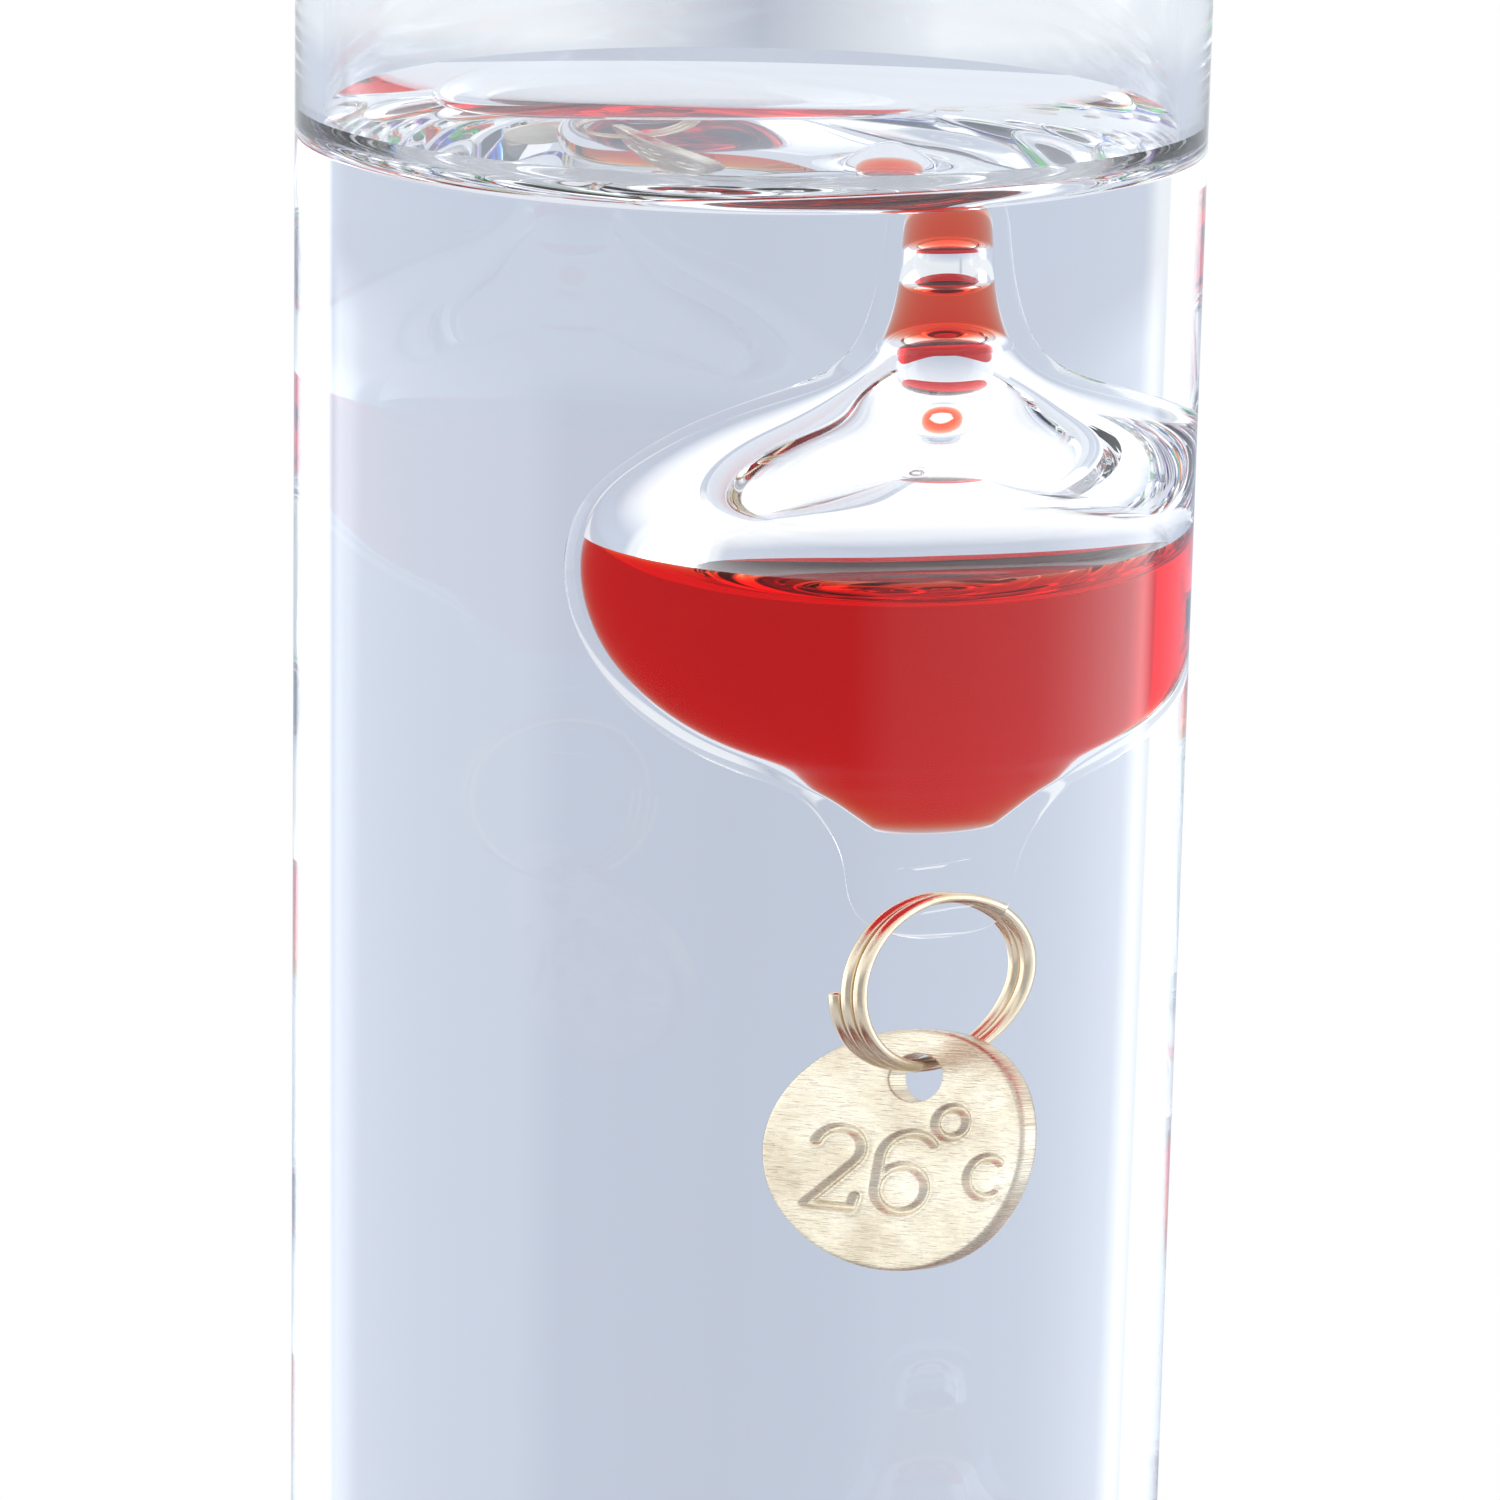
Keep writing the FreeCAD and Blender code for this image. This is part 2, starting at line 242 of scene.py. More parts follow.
def mixed(tree, factor, a, b):
    node = tree.nodes.new("ShaderNodeMix")
    node.data_type = "RGBA"
    for name, value in (("Factor", factor), ("A", a), ("B", b)):
        sockets = [s for s in node.inputs if s.name == name and s.enabled]
        socket = sockets[0]
        if isinstance(value, tuple):
            socket.default_value = (*value, 1.0)
        elif isinstance(value, (int, float)):
            socket.default_value = value
        else:
            tree.links.new(value, socket)
    return [s for s in node.outputs if s.enabled][0]


# The studio's surfaces as light: a blue-grey card ahead, soft lights at the sides, a dimmer room behind
CARD = (0.57, 0.63, 0.75)
LIGHT = (0.90, 0.95, 1.0)
ROOM = (0.42, 0.44, 0.48)
# Going round by bearing in degrees from straight ahead: (bearing, surface, strength). The lights are
# strongest next to the card
AROUND = [
    (-180, ROOM, 1.0), (-136, ROOM, 1.0), (-124, LIGHT, 1.8), (-68, LIGHT, 1.8), (-62, LIGHT, 2.8),
    (-56, LIGHT, 2.8), (-52, LIGHT, 1.0), (-48, LIGHT, 1.0), (-44, CARD, 1.05), (0, CARD, 0.95),
    (46, CARD, 1.05), (51, CARD, 1.2), (57, LIGHT, 2.8), (76, LIGHT, 2.4), (100, LIGHT, 1.3),
    (140, LIGHT, 1.0), (152, ROOM, 1.0),
]
# A low band where two lights stand behind the card and nearly meet straight ahead
BAND = [
    (-180, LIGHT, 0.95), (-2.5, LIGHT, 0.95), (0, CARD, 0.85), (2.5, LIGHT, 0.95), (179, LIGHT, 0.95),
]
BAND_LOW = -0.16
BAND_HIGH = -0.09
BAND_EDGE = 0.012
CEILING = (1.15, 1.18, 1.22)
CEILING_START = 0.2
CEILING_FADE = 0.4


def going_round(tree, share, surfaces):
    """The studio's surfaces one after another around the upright, each fading into the next."""
    stops = []
    for bearing, surface, strength in surfaces:
        stops.append((0.5 + bearing / 360, tuple(strength * channel for channel in surface)))
    return ramp(tree, share, stops)


def make_world():
    """A plain studio: a wide card ahead, soft lights at both sides, a dimmer room behind and a white
    ceiling. What the camera sees directly is plain white."""
    world = bpy.data.worlds.new("studio")
    bpy.context.scene.world = world
    world.use_nodes = True
    tree = world.node_tree
    tree.nodes.clear()
    out = tree.nodes.new("ShaderNodeOutputWorld")
    place = tree.nodes.new("ShaderNodeTexCoord")
    axes = tree.nodes.new("ShaderNodeSeparateXYZ")
    tree.links.new(place.outputs["Generated"], axes.inputs[0])
    x, y, z = axes.outputs
    bearing = math_node(tree, "ARCTAN2", x, y)
    share = math_node(tree, "MULTIPLY_ADD", bearing, 0.5 / math.pi, 0.5)
    above = math_node(tree, "MULTIPLY_ADD", z, 1 / BAND_EDGE, -BAND_LOW / BAND_EDGE, clamp=True)
    below = math_node(tree, "MULTIPLY_ADD", z, -1 / BAND_EDGE, BAND_HIGH / BAND_EDGE, clamp=True)
    band = math_node(tree, "MULTIPLY", above, below)
    sides = mixed(tree, band, going_round(tree, share, AROUND), going_round(tree, share, BAND))
    ceiling = math_node(tree, "MULTIPLY_ADD", z, 1 / CEILING_FADE, -CEILING_START / CEILING_FADE, clamp=True)
    room = mixed(tree, ceiling, sides, CEILING)
    seen = tree.nodes.new("ShaderNodeLightPath")
    shown = mixed(tree, seen.outputs["Is Camera Ray"], room, (1.0, 1.0, 1.0))
    glow = tree.nodes.new("ShaderNodeBackground")
    tree.links.new(shown, glow.inputs["Color"])
    glow.inputs["Strength"].default_value = 1.0
    tree.links.new(glow.outputs[0], out.inputs["Surface"])


# ---------------------------------------------------------------- materials

def new_material(name):
    material = bpy.data.materials.new(name)
    material.use_nodes = True
    tree = material.node_tree
    tree.nodes.clear()
    out = tree.nodes.new("ShaderNodeOutputMaterial")
    return material, tree, out


def noise(tree, scale, detail=2.0, stretch=None, coordinates="Object"):
    """Noise over the piece; stretch squeezes it along the axes to draw it out into streaks."""
    place = tree.nodes.new("ShaderNodeTexCoord")
    node = tree.nodes.new("ShaderNodeTexNoise")
    node.inputs["Scale"].default_value = scale
    node.inputs["Detail"].default_value = detail
    source = place.outputs[coordinates]
    if stretch:
        mapping = tree.nodes.new("ShaderNodeMapping")
        mapping.inputs["Rotation"].default_value = (0, 0, math.radians(stretch[3]))
        mapping.inputs["Scale"].default_value = stretch[:3]
        tree.links.new(source, mapping.inputs["Vector"])
        source = mapping.outputs["Vector"]
    tree.links.new(source, node.inputs["Vector"])
    return node.outputs["Fac"]


def bump(tree, height, strength, distance):
    node = tree.nodes.new("ShaderNodeBump")
    node.inputs["Strength"].default_value = strength
    node.inputs["Distance"].default_value = distance
    tree.links.new(height, node.inputs["Height"])
    return node.outputs["Normal"]


def clear_material(name, ratio, wave, wave_size, dye=None):
    """A clear surface between two media. ratio is the refractive index behind the surface over the one in
    front of it. The wave is the faint unevenness of drawn glass or of a still liquid. A dye is the colour
    and the density of what the surface encloses."""
    material, tree, out = new_material(name)
    shader = tree.nodes.new("ShaderNodeBsdfGlass")
    shader.inputs["IOR"].default_value = ratio
    shader.inputs["Roughness"].default_value = 0.0
    streak = noise(tree, 90.0, 2.0)
    tree.links.new(mixed(tree, streak, CLEAREST, LEAST_CLEAR), shader.inputs["Color"])
    if wave:
        uneven = noise(tree, wave_size, 1.0)
        tree.links.new(bump(tree, uneven, wave, 0.001), shader.inputs["Normal"])
    tree.links.new(shader.outputs[0], out.inputs["Surface"])
    if dye:
        colour, density = dye
        volume = tree.nodes.new("ShaderNodeVolumeAbsorption")
        volume.inputs["Color"].default_value = (*colour, 1.0)
        volume.inputs["Density"].default_value = density
        tree.links.new(volume.outputs[0], out.inputs["Volume"])
    return material


def ring_material():
    """Plated steel wire: pale gold, drawn lengthwise, with a few darker stretches."""
    material, tree, out = new_material("ring_pale_gold")
    shader = tree.nodes.new("ShaderNodeBsdfPrincipled")
    shader.inputs["Metallic"].default_value = 1.0
    patch = noise(tree, 400.0, 3.0)
    tree.links.new(ramp(tree, patch, [
        (0.3, (0.70, 0.55, 0.36)),
        (0.7, (0.88, 0.76, 0.58)),
    ]), shader.inputs["Base Color"])
    fine = noise(tree, 60.0, 3.0, (1.0, 30.0, 1.0, 0.0), "UV")
    rough = ramp(tree, fine, [(0.3, (0.12,) * 3), (0.7, (0.22,) * 3)])
    tree.links.new(rough, shader.inputs["Roughness"])
    tree.links.new(bump(tree, fine, 0.12, 0.00002), shader.inputs["Normal"])
    tree.links.new(shader.outputs[0], out.inputs["Surface"])
    return material


def tag_material():
    """Brass sheet brushed along its width, with a few slanting scratches."""
    material, tree, out = new_material("tag_brushed_brass")
    shader = tree.nodes.new("ShaderNodeBsdfPrincipled")
    shader.inputs["Metallic"].default_value = 1.0
    patch = noise(tree, 3.0, 3.0, None, "UV")
    tree.links.new(ramp(tree, patch, [
        (0.3, (0.62, 0.52, 0.38)),
        (0.5, (0.77, 0.68, 0.52)),
        (0.75, (0.90, 0.82, 0.68)),
    ]), shader.inputs["Base Color"])
    brushed = noise(tree, 9.0, 5.0, (1.0, 16.0, 1.0, 3.0), "UV")
    scratched = noise(tree, 12.0, 3.0, (1.0, 20.0, 1.0, -38.0), "UV")
    scratches = ramp(tree, scratched, [(0.60, (0.0,) * 3), (0.72, (1.0,) * 3)])
    both = math_node(tree, "ADD", brushed, math_node(tree, "MULTIPLY", scratches, 0.5))
    rough = ramp(tree, brushed, [(0.3, (0.2,) * 3), (0.7, (0.34,) * 3)])
    tree.links.new(rough, shader.inputs["Roughness"])
    tree.links.new(bump(tree, both, 0.55, 0.00006), shader.inputs["Normal"])
    tree.links.new(shader.outputs[0], out.inputs["Surface"])
    return material


def floor_material():
    """A matt pale light table with the slightest mottle."""
    material, tree, out = new_material("pale_table")
    shader = tree.nodes.new("ShaderNodeBsdfPrincipled")
    shader.inputs["Roughness"].default_value = 0.7
    mottle = noise(tree, 12.0, 3.0)
    tree.links.new(ramp(tree, mottle, [
        (0.3, (0.29, 0.30, 0.32)),
        (0.7, (0.32, 0.33, 0.35)),
    ]), shader.inputs["Base Color"])
    shader.inputs["Emission Color"].default_value = (0.86, 0.91, 1.0, 1.0)
    shader.inputs["Emission Strength"].default_value = 0.5
    tree.links.new(shader.outputs[0], out.inputs["Surface"])
    return material


# ---------------------------------------------------------------- shapes

def smooth_run(points, lead=None, tail=None, per_gap=6):
    """A dense smooth run through (radius, height) points. lead and tail steer the ends only."""
    run = ([lead] if lead else []) + list(points) + ([tail] if tail else [])
    marks = np.array(run, float)
    steps = np.hypot(*np.diff(marks, axis=0).T)
    count = len(marks)
    system = np.zeros((count, count))
    pull = np.zeros((count, 2))
    system[0, 0] = system[-1, -1] = 1.0
    for i in range(1, count - 1):
        before, after = steps[i - 1], steps[i]
        system[i, i - 1:i + 2] = before, 2 * (before + after), after
        pull[i] = 6 * ((marks[i + 1] - marks[i]) / after - (marks[i] - marks[i - 1]) / before)
    bend = np.linalg.solve(system, pull)
    first = 1 if lead else 0
    last = first + len(points) - 1
    out = []
    for i in range(first, last):
        step = steps[i]
        for k in range(per_gap):
            b = k / per_gap
            a = 1 - b
            spot = a * marks[i] + b * marks[i + 1]
            spot = spot + ((a ** 3 - a) * bend[i] + (b ** 3 - b) * bend[i + 1]) * step * step / 6
            out.append((max(spot[0], 0.0), spot[1]))
    out.append(tuple(marks[last]))
    return out


def across(point):
    """The same point on the other side of the upright."""
    return (-point[0], point[1])


def arc_run(centre, radius, first, last, steps=8):
    """(radius, height) points along an arc, angles in degrees from the outward direction."""
    out = []
    for i in range(steps + 1):
        angle = math.radians(first + (last - first) * i / steps)
        out.append((centre[0] + radius * math.cos(angle), centre[1] + radius * math.sin(angle)))
    return out


def between(profile, low, high):
    """The part of a rising profile from height low to height high, ends included."""
    heights = np.array([z for r, z in profile])
    radii = np.array([r for r, z in profile])
    inner = [(r, z) for r, z in profile if low + 1e-6 < z < high - 1e-6]
    start = (float(np.interp(low, heights, radii)), low)
    end = (float(np.interp(high, heights, radii)), high)
    return [start] + inner + [end]


class Shell:
    """Surfaces of revolution about the upright, gathered into one mesh."""

    def __init__(self, around):
        self.around = around
        self.points = []
        self.faces = []
        self.kinds = []

    def turn(self, profile, kind=0, inward=False):
        """Adds the surface that a (radius, height) profile sweeps. Running up a profile, the surface
        faces outward, or towards the upright when inward is set."""
        rows = []
        for radius, height in profile:
            first = len(self.points)
            if radius < 1e-6:
                self.points.append((0.0, 0.0, height))
                rows.append([first] * self.around)
                continue
            for j in range(self.around):
                angle = 2 * math.pi * j / self.around
                self.points.append((radius * math.cos(angle), radius * math.sin(angle), height))
            rows.append(list(range(first, first + self.around)))
        for low, high in zip(rows, rows[1:]):
            for j in range(self.around):
                k = (j + 1) % self.around
                face = list(dict.fromkeys((low[j], low[k], high[k], high[j])))
                if len(face) < 3:
                    continue
                self.faces.append(face[::-1] if inward else face)
                self.kinds.append(kind)
        return self


def build(name, points, faces, materials, kinds=None, sharp=50.0, flat_uv=None, weld=1e-7):
    """One named piece from points in millimetres."""
    mesh = bpy.data.meshes.new(name)
    mesh.from_pydata([tuple(c * MM for c in point) for point in points], [], faces)
    for material in materials:
        mesh.materials.append(material)
    if kinds:
        mesh.polygons.foreach_set("material_index", kinds)
    if flat_uv is not None:
        layer = mesh.uv_layers.new(name="plate")
        corners = np.zeros(len(mesh.loops), np.int32)
        mesh.loops.foreach_get("vertex_index", corners)
        layer.data.foreach_set("uv", np.asarray(flat_uv, np.float32)[corners].ravel())
    work = bmesh.new()
    work.from_mesh(mesh)
    bmesh.ops.remove_doubles(work, verts=work.verts, dist=weld)
    for face in work.faces:
        face.smooth = True
    limit = math.radians(sharp)
    for edge in work.edges:
        if len(edge.link_faces) == 2 and edge.calc_face_angle(0.0) > limit:
            edge.smooth = False
    work.to_mesh(mesh)
    work.free()
    mesh.update()
    piece = bpy.data.objects.new(name, mesh)
    bpy.context.scene.collection.objects.link(piece)
    return piece


class Seat:
    """Where a float stands in the tube and which way its ring faces, from the frame."""

    def __init__(self, number):
        low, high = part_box("bulb_" + number)
        self.x = (low.x + high.x) / 2 / MM
        self.y = (low.y + high.y) / 2 / MM
        self.z = high.z / MM - FLOAT_TOP
        swing = next(j for j in frame["joints"] if j["name"] == "ring_swing_" + number)
        axis = swing["axis"]
        self.turn = math.atan2(-axis[0], axis[1])

    def place(self, points):
        spot = np.asarray(points, float)
        c, s = math.cos(self.turn), math.sin(self.turn)
        x = spot[:, 0] * c - spot[:, 1] * s + self.x
        y = spot[:, 0] * s + spot[:, 1] * c + self.y
        return np.column_stack((x, y, spot[:, 2] + self.z)).tolist()


# ---------------------------------------------------------------- tube and liquid

def meniscus(wall_r, level, rise, reach, steps=28):
    """The liquid's surface from the wall in to the upright, creeping up the wall."""
    out = []
    for i in range(steps + 1):
        share = (i / steps) ** 1.6
        radius = wall_r * (1 - share)
        out.append((radius, level + rise * math.exp(-(wall_r - radius) / reach)))
    out[-1] = (0.0, out[-1][1])
    return out


def tube_outside():
    foot = arc_run((TUBE_R - FOOT_EDGE_R, FOOT_EDGE_R), FOOT_EDGE_R, -90, 0)
    dome = smooth_run(DOME_OUTSIDE, (TUBE_R, DOME_START - 5), across(DOME_OUTSIDE[-2]), 10)
    return [(0.0, 0.0), (TUBE_R * 0.5, 0.0)] + foot + dome


def make_tube(materials):
    dome = smooth_run(DOME_INSIDE, (BORE_R, DOME_START - 5), across(DOME_INSIDE[-2]), 10)
    shell = Shell(AROUND_TUBE)
    shell.turn(tube_outside())
    wet_line = LIQUID_LEVEL - SURFACE_DROP + MENISCUS_RISE
    shell.turn([(BORE_R, wet_line)] + dome, 0, inward=True)
    tube = build("tube_glass_wall", shell.points, shell.faces, materials, shell.kinds)
    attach(tube, "vessel")
    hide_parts("glass_tube")


def make_liquid(materials):
    corner = (BORE_R - FLOOR_CORNER_R, LIQUID_FLOOR + FLOOR_CORNER_R)
    wall = [(0.0, LIQUID_FLOOR), (BORE_R * 0.4, LIQUID_FLOOR)]
    wall += arc_run(corner, FLOOR_CORNER_R, -90, 0, 12)
    level = LIQUID_LEVEL - SURFACE_DROP
    wall.append((BORE_R, level + MENISCUS_RISE))
    top = meniscus(BORE_R, level, MENISCUS_RISE, MENISCUS_REACH, 64)
    shell = Shell(AROUND_TUBE)
    shell.turn(wall, 0)
    first = len(shell.points)
    shell.turn(top, 1)
    neck = Seat("26")
    for i in range(first + AROUND_TUBE, len(shell.points)):
        x, y, z = shell.points[i]
        away = math.hypot(x - neck.x, y - neck.y)
        shell.points[i] = (x, y, z + NECK_RISE * math.exp(-(away / NECK_REACH) ** 2))
    liquid = build("clear_liquid", shell.points, shell.faces, materials, shell.kinds)
    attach(liquid, "vessel")
    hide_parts("fill_liquid")


# ---------------------------------------------------------------- floats

def float_outline():
    return smooth_run(FLOAT_OUTSIDE, across(FLOAT_OUTSIDE[1]), across(FLOAT_OUTSIDE[-2]), 5)


def cavity_outline():
    return smooth_run(FLOAT_INSIDE, None, across(FLOAT_INSIDE[-2]), 5)


def pad_half(height):
    """Half the pad's thickness at a height, or None above the pad."""
    if height <= PAD_FLAT_TOP:
        return PAD_THICK / 2
    up = height - PAD_FLAT_TOP
    if up >= PAD_BLEND_R:
        return None
    return PAD_THICK / 2 + PAD_BLEND_R - math.sqrt(PAD_BLEND_R ** 2 - up ** 2)


def flattened(points):
    """The stem under the bulb pressed flat, with rounded borders."""
    out = []
    for x, y, z in points:
        half = pad_half(z)
        if half is not None and abs(y) > 1e-9:
            y = y / (1 + (abs(y) / half) ** 10) ** 0.1
        out.append((x, y, z))
    return out


def pierced(points, faces):
    """Cuts the eye through the pad and returns the new points and faces."""
    mesh = bpy.data.meshes.new("glass_shape")
    mesh.from_pydata(points, [], faces)
    body = bpy.data.objects.new("glass_shape", mesh)
    work = bmesh.new()
    work.from_mesh(mesh)
    bmesh.ops.remove_doubles(work, verts=work.verts, dist=1e-5)
    work.to_mesh(mesh)
    work.free()
    drill = Shell(40)
    drill.turn([(0.0, -6.0), (EYE_R, -6.0), (EYE_R, 6.0), (0.0, 6.0)])
    tool_mesh = bpy.data.meshes.new("eye_drill")
    lying = [(x + STRAND_SHIFT, -z, y + EYE_Z) for x, y, z in drill.points]
    tool_mesh.from_pydata(lying, [], drill.faces)
    tool = bpy.data.objects.new("eye_drill", tool_mesh)
    for item in (body, tool):
        bpy.context.scene.collection.objects.link(item)
    cut = body.modifiers.new("eye", "BOOLEAN")
    cut.operation = "DIFFERENCE"
    cut.object = tool
    cut.solver = "EXACT"
    graph = bpy.context.evaluated_depsgraph_get()
    result = bpy.data.meshes.new_from_object(body.evaluated_get(graph))
    new_points = [tuple(v.co) for v in result.vertices]
    new_faces = [tuple(p.vertices) for p in result.polygons]
    for item in (body, tool):
        bpy.data.objects.remove(item)
    for item in (mesh, tool_mesh, result):
        bpy.data.meshes.remove(item)
    return new_points, new_faces


def glass_body():
    shell = Shell(AROUND_FLOAT)
    shell.turn(float_outline())
    return pierced(flattened(shell.points), shell.faces)


def cap(radius, height, bulge, steps=10):
    """A curved end of a dye thread, from its rim in to the upright; bulge is how far the middle rises."""
    out = []
    for i in range(steps + 1):
        turn = math.pi / 2 * i / steps
        out.append((radius * math.cos(turn), height + bulge * math.sin(turn)))
    out[-1] = (0.0, height + bulge)
    return out


def make_float(number, level, threads, body, materials, seat):
    """The float's blown glass, with the parts of its hollow that hold air, and its dye."""
    inside = cavity_outline()
    air = [level + DYE_RISE]
    for low, high in threads:
        air += [low, high if high else None]
    shell = Shell(AROUND_FLOAT)
    edges = [height for height in air if height is not None]
    for low, high in zip(edges[0::2], edges[1::2] + [CAVITY_TOP]):
        if threads[-1][1] is None and low == edges[-1]:
            break
        shell.turn(between(inside, low, high), 1, inward=True)
    offset = len(body[0])
    points = list(body[0]) + shell.points
    faces = list(body[1]) + [tuple(i + offset for i in face) for face in shell.faces]
    kinds = [0] * len(body[1]) + shell.kinds
    glass = build("blown_glass_" + number, seat.place(points), faces, materials["glass"], kinds)
    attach(glass, "bulb_body_" + number)
    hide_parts("bulb_" + number)

    slot = "dye_" + DYE_COLOURS[number][0]
    pool = Shell(AROUND_FLOAT)
    bottom_r = FLOAT_INSIDE[0][0]
    rim = between(inside, CAVITY_FLOOR, level + DYE_RISE)
    pool.turn([(0.0, CAVITY_FLOOR), (bottom_r * 0.6, CAVITY_FLOOR)] + rim, 0)
    pool.turn(meniscus(rim[-1][0], level, DYE_RISE, DYE_REACH), 1)
    parts = [("pool_dye_", pool, "dye_")]
    for i, (low, high) in enumerate(threads):
        thread = Shell(AROUND_FLOAT)
        if high:
            side = between(inside, low, high)
            thread.turn(cap(side[0][0], low, THREAD_LOW_BULGE)[::-1], 1)
            thread.turn(side, 0)
            thread.turn(cap(side[-1][0], high, THREAD_HIGH_BULGE), 1)
        else:
            side = between(inside, low, CAVITY_TOP)
            thread.turn(cap(side[0][0], low, UPPER_LOW_BULGE)[::-1], 1)
            thread.turn(side, 0)
        parts.append((("thread_dye_", "upper_dye_")[i], thread, ("neck_dye_", "tip_dye_")[i]))
    for name, part, node in parts:
        piece = build(name + number, seat.place(part.points), part.faces, materials[slot], part.kinds)
        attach(piece, "dye_body_" + number)
        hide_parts(node + number)


# ---------------------------------------------------------------- rings

def ring_points(steps_per_turn=72, around=18):
    """The ring's wire swept along its coil, with eased ends."""
    steps = round(RING_TURNS * steps_per_turn)
    points, faces, uv = [], [], []
    ends = 3
    rows = []
    for i in range(-ends, steps + ends + 1):
        inside = min(max(i, 0), steps)
        beyond = abs(i - inside) / ends
        thin = math.sqrt(max(0.0, 1 - beyond ** 2)) if beyond < 1 else 0.0
        angle = 2 * math.pi * RING_TURNS * inside / steps
        reach = math.copysign(beyond * WIRE_R * 0.5, i) if beyond else 0.0
        angle += reach / RING_R
        centre = np.array((
            RING_PITCH * (angle / (2 * math.pi) - 1),
            -RING_R * math.cos(angle),
            RING_Z - RING_R * math.sin(angle),
        ))
        out = np.array((0.0, -math.cos(angle), -math.sin(angle)))
        axis = np.array((1.0, 0.0, 0.0))
        row = []
        for j in range(around):
            turn = 2 * math.pi * j / around
            radius = WIRE_R * max(thin, 0.02)
            points.append(centre + (out * math.cos(turn) + axis * math.sin(turn)) * radius)
            uv.append((j / around, RING_R * angle / 10))
            row.append(len(points) - 1)
        rows.append(row)
    for a, b in zip(rows, rows[1:]):
        for j in range(around):
            k = (j + 1) % around
            faces.append((a[j], b[j], b[k], a[k]))
    faces.append(tuple(rows[0]))
    faces.append(tuple(rows[-1][::-1]))
    return points, faces, uv


def make_ring(number, shape, material, seat):
    points, faces, uv = shape
    ring = build("split_ring_" + number, seat.place(points), faces, [material], flat_uv=uv)
    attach(ring, "ring_body_" + number)
    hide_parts("ring_" + number)


# ---------------------------------------------------------------- tags

def tag_strokes(number):
    strokes = [DEGREE_MARK, UNIT_MARK]
    for left, digit in zip(CHAR_LEFT, number):
        for stroke in STROKES[digit]:
            moved = list(stroke)
            moved[1] += left
            moved[2] += CHAR_BASE
            if stroke[0] == "line":
                moved[3] += left
                moved[4] += CHAR_BASE
            strokes.append(tuple(moved))
    return strokes


def stroke_distance(spots, strokes):
    """Distance of each flat spot from the nearest stroke."""
    best = np.full(len(spots), 1e9)
    for stroke in strokes:
        if stroke[0] == "line":
            start, end = np.array(stroke[1:3]), np.array(stroke[3:5])
            along = end - start
            share = np.clip((spots - start) @ along / (along @ along), 0, 1)
            away = np.linalg.norm(spots - start - share[:, None] * along, axis=1)
        else:
            x, y, radius, first, last = stroke[1:]
            offset = spots - (x, y)
            angle = np.degrees(np.arctan2(offset[:, 1], offset[:, 0]))
            middle = (first + last) / 2
            swing = (angle - middle + 180) % 360 - 180
            half = (last - first) / 2
            nearest = np.radians(middle + np.clip(swing, -half, half))
            tip = np.column_stack((x + radius * np.cos(nearest), y + radius * np.sin(nearest)))
            away = np.linalg.norm(spots - tip, axis=1)
        best = np.minimum(best, away)
    return best


def circle(radius, count, height=0.0):
    turns = np.arange(count) * 2 * math.pi / count
    return np.column_stack((radius * np.cos(turns), height + radius * np.sin(turns)))


def tag_face(number):
    """The tag's flat face as triangles in its own plane, finer near the stamped characters, and the depth
    of each of its points."""
    rim = circle(TAG_R - TAG_EDGE_R, 180)
    hole = circle(TAG_HOLE_R + TAG_HOLE_EDGE_R, 60, TAG_HOLE_UP)
    strokes = tag_strokes(number)

    def grid(step, keep):
        ticks = np.arange(-TAG_R, TAG_R, step)
        u, v = np.meshgrid(ticks, ticks)
        u[1::2] += step / 2
        spots = np.column_stack((u.ravel(), v.ravel()))
        room = np.hypot(spots[:, 0], spots[:, 1]) < TAG_R - TAG_EDGE_R - step * 0.6
        room &= np.hypot(spots[:, 0], spots[:, 1] - TAG_HOLE_UP) > TAG_HOLE_R + TAG_HOLE_EDGE_R + step * 0.6
        spots = spots[room]
        return spots[keep(stroke_distance(spots, strokes))]

    near = 0.42
    spots = np.vstack((
        rim, hole, grid(0.3, lambda d: d >= near + 0.1), grid(0.07, lambda d: d < near),
    ))
    count = len(rim)
    edges = [(i, (i + 1) % count) for i in range(count)]
    edges += [(count + i, count + (i + 1) % len(hole)) for i in range(len(hole))]
    result = delaunay_2d_cdt([Vector(p) for p in spots], edges, [], 1, 1e-7)
    flat = np.array([tuple(p) for p in result[0]])
    faces = []
    for face in result[2]:
        centre = flat[list(face)].mean(axis=0)
        if math.hypot(centre[0], centre[1] - TAG_HOLE_UP) > TAG_HOLE_R + TAG_HOLE_EDGE_R * 0.9:
            a, b, c = (flat[i] for i in face)
            turn = (b[0] - a[0]) * (c[1] - a[1]) - (b[1] - a[1]) * (c[0] - a[0])
            faces.append(tuple(face) if turn > 0 else tuple(face[::-1]))
    away = stroke_distance(flat, strokes)
    inside = np.clip(away / STAMP_HALF, 0, 1)
    depth = STAMP_DEPTH * (0.5 + 0.5 * np.cos(np.pi * inside)) ** 0.8
    lip = STAMP_LIP * np.exp(-((away - STAMP_HALF * 1.15) / 0.09) ** 2)
    return flat, faces, depth - lip


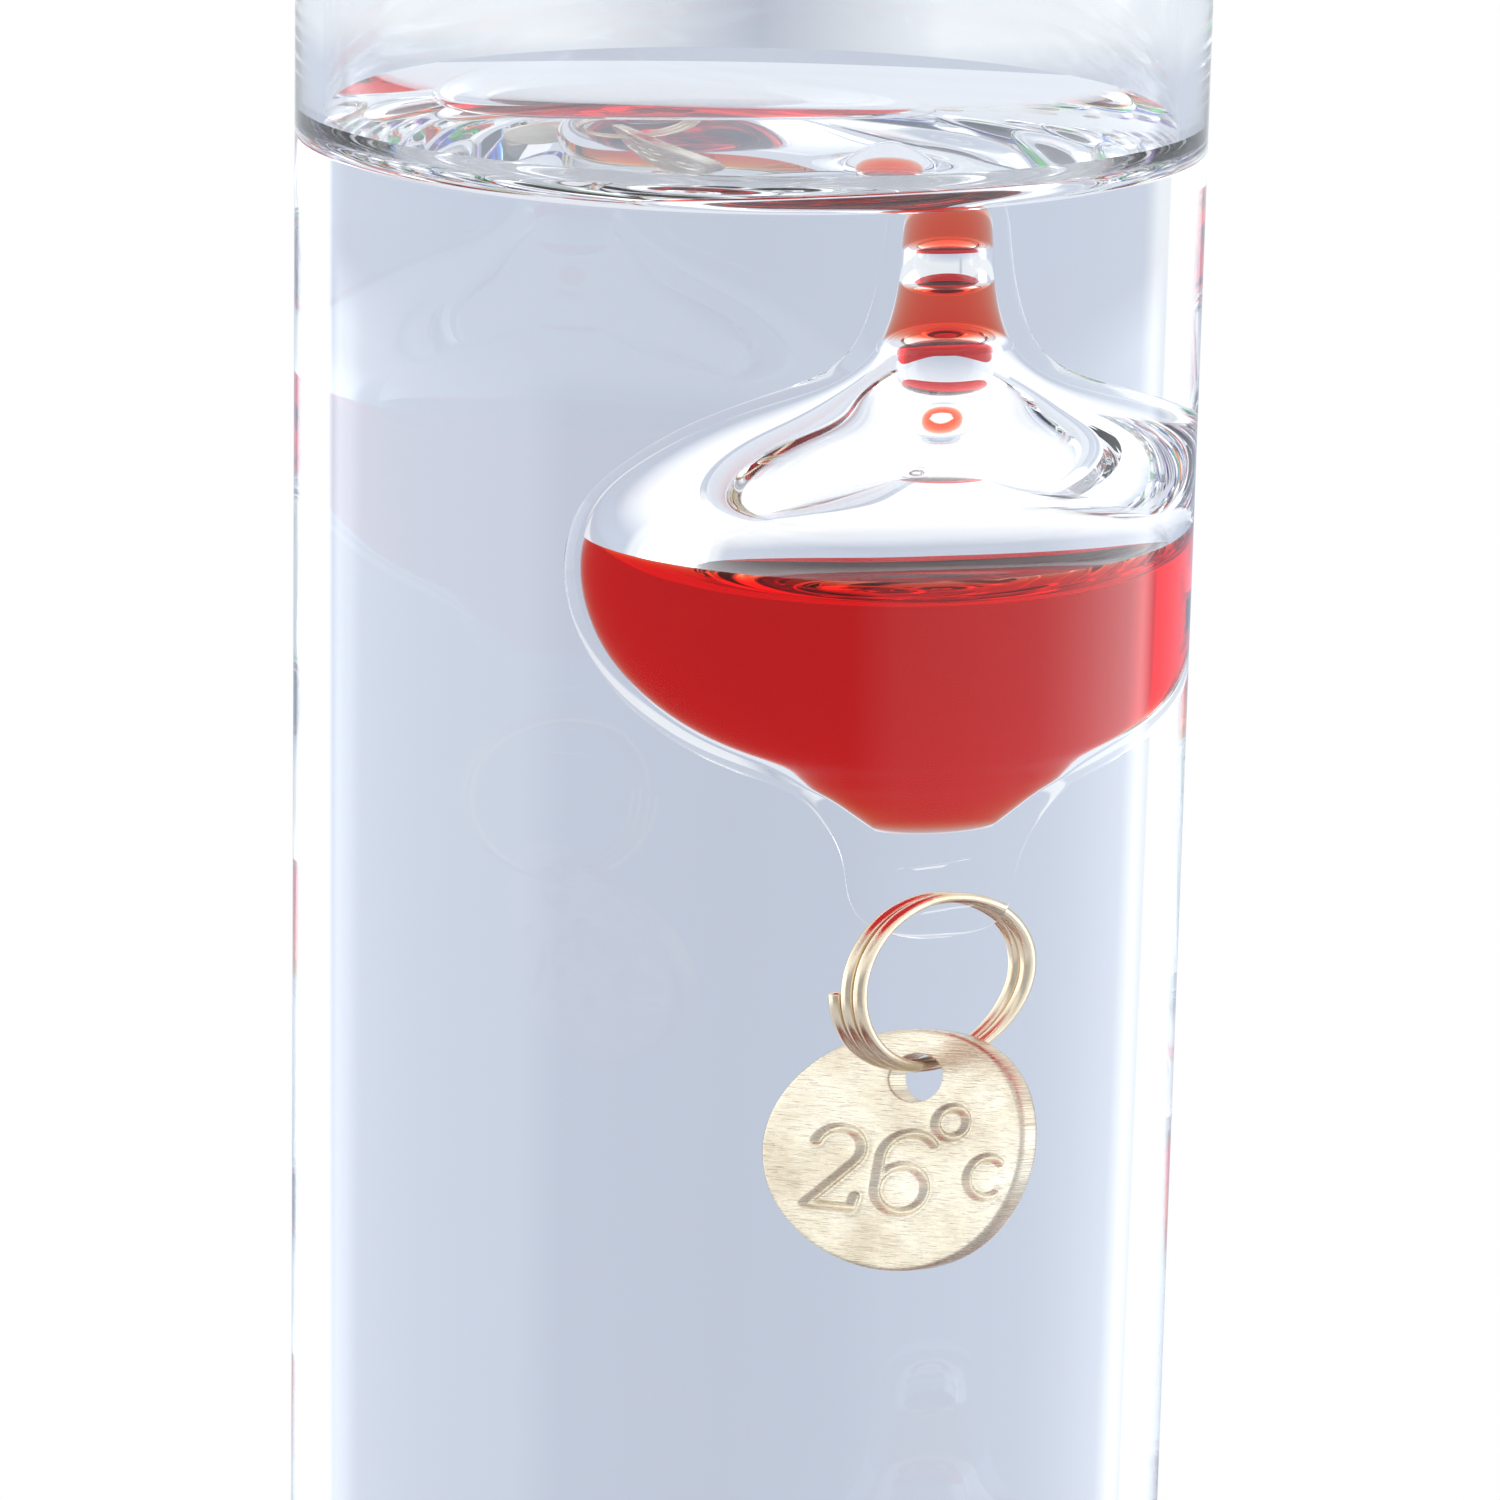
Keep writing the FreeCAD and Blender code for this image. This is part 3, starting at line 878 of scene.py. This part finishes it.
def tag_shape(number):
    """The whole tag, centred on the origin with faces along Y, as points, faces and plate coordinates."""
    flat, front, depth = tag_face(number)
    half = TAG_THICK / 2
    points, faces, uv = [], [], []
    for side in (-1, 1):
        first = len(points)
        for (u, v), d in zip(flat, depth):
            points.append((-side * u, side * (half - d), v))
            uv.append((u / 10, v / 10))
        faces += [tuple(i + first for i in face) for face in front]

    def border(radius, edge, centre_z, count, outward):
        rows = []
        bends = [(angle, 0) for angle in (0, 20, 45, 70, 90)]
        bends += [(180 - angle, 1) for angle, far in bends[::-1]]
        for degrees, far in bends:
            angle = math.radians(degrees)
            grow = edge * math.sin(angle)
            y = (half - edge) * (1 if far else -1) - edge * math.cos(angle)
            ring = circle(radius + outward * (grow - edge), count, centre_z)
            first = len(points)
            for u, v in ring:
                points.append((u, y, v))
                uv.append((u / 10, v / 10))
            rows.append(range(first, first + count))
        for a, b in zip(rows, rows[1:]):
            for j in range(count):
                k = (j + 1) % count
                face = (a[j], a[k], b[k], b[j])
                faces.append(face[::-1] if outward > 0 else face)

    border(TAG_R, TAG_EDGE_R, 0.0, 180, 1)
    border(TAG_HOLE_R, TAG_HOLE_EDGE_R, TAG_HOLE_UP, 60, -1)
    return points, faces, uv


def hung(points):
    """Moves a tag from the origin to where it hangs on the ring of a float."""
    move = Matrix.Translation((-STRAND_SHIFT, 0, RING_Z - RING_R - TAG_HOLE_DROP))
    move = move @ Matrix.Rotation(math.radians(TAG_YAW_TO_RING), 4, "Z")
    move = move @ Matrix.Rotation(math.radians(-TAG_LEAN), 4, "X")
    move = move @ Matrix.Translation((0, 0, -TAG_HOLE_UP))
    return [tuple(move @ Vector(point)) for point in points]


def make_tag(number, material, seat):
    points, faces, uv = tag_shape(number)
    tag = build("number_tag_" + number, seat.place(hung(points)), faces, [material], flat_uv=uv, sharp=60.0,
                weld=2e-6)
    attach(tag, "tag_body_" + number)
    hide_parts("tag_" + number)


# ---------------------------------------------------------------- the table

def make_floor(material):
    shell = Shell(96)
    shell.turn([(0.0, -TABLE_DROP), (200.0, -TABLE_DROP), (TABLE_R, -TABLE_DROP)], 0, inward=True)
    floor = build("table_top", shell.points, shell.faces, [material])


# ---------------------------------------------------------------- assembly

scene = bpy.context.scene
scene.view_settings.view_transform = "Standard"
scene.cycles.max_bounces = MOST_BOUNCES
scene.cycles.transmission_bounces = MOST_BOUNCES
scene.cycles.glossy_bounces = MOST_REFLECTIONS

make_camera()
make_world()
make_floor(floor_material())

tube_glass = clear_material("tube_glass", GLASS_N, 0.02, 25.0)
make_tube([tube_glass])
make_liquid([
    clear_material("liquid_at_glass", LIQUID_N / GLASS_N, 0.0, 0.0),
    clear_material("liquid_surface", LIQUID_N, 0.02, 60.0),
])

materials = {
    "glass": [
        clear_material("float_glass_outside", FLOAT_GLASS_N / LIQUID_N, 0.15, 140.0),
        clear_material("float_glass_inside", FLOAT_GLASS_N, 0.1, 120.0),
    ],
}
for number, (name, colour, density) in DYE_COLOURS.items():
    dye = (colour, density)
    materials["dye_" + name] = [
        clear_material("dye_" + name + "_at_glass", DYE_N / FLOAT_GLASS_N, 0.0, 0.0, dye=dye),
        clear_material("dye_" + name + "_surface", DYE_N, 0.02, 200.0, dye=dye),
    ]
ring_metal = ring_material()
tag_metal = tag_material()

body_shape = glass_body()
ring_shape = ring_points()
for number, level, threads in FLOATS:
    seat = Seat(number)
    make_float(number, level, threads, body_shape, materials, seat)
    make_ring(number, ring_shape, ring_metal, seat)
    make_tag(number, tag_metal, seat)
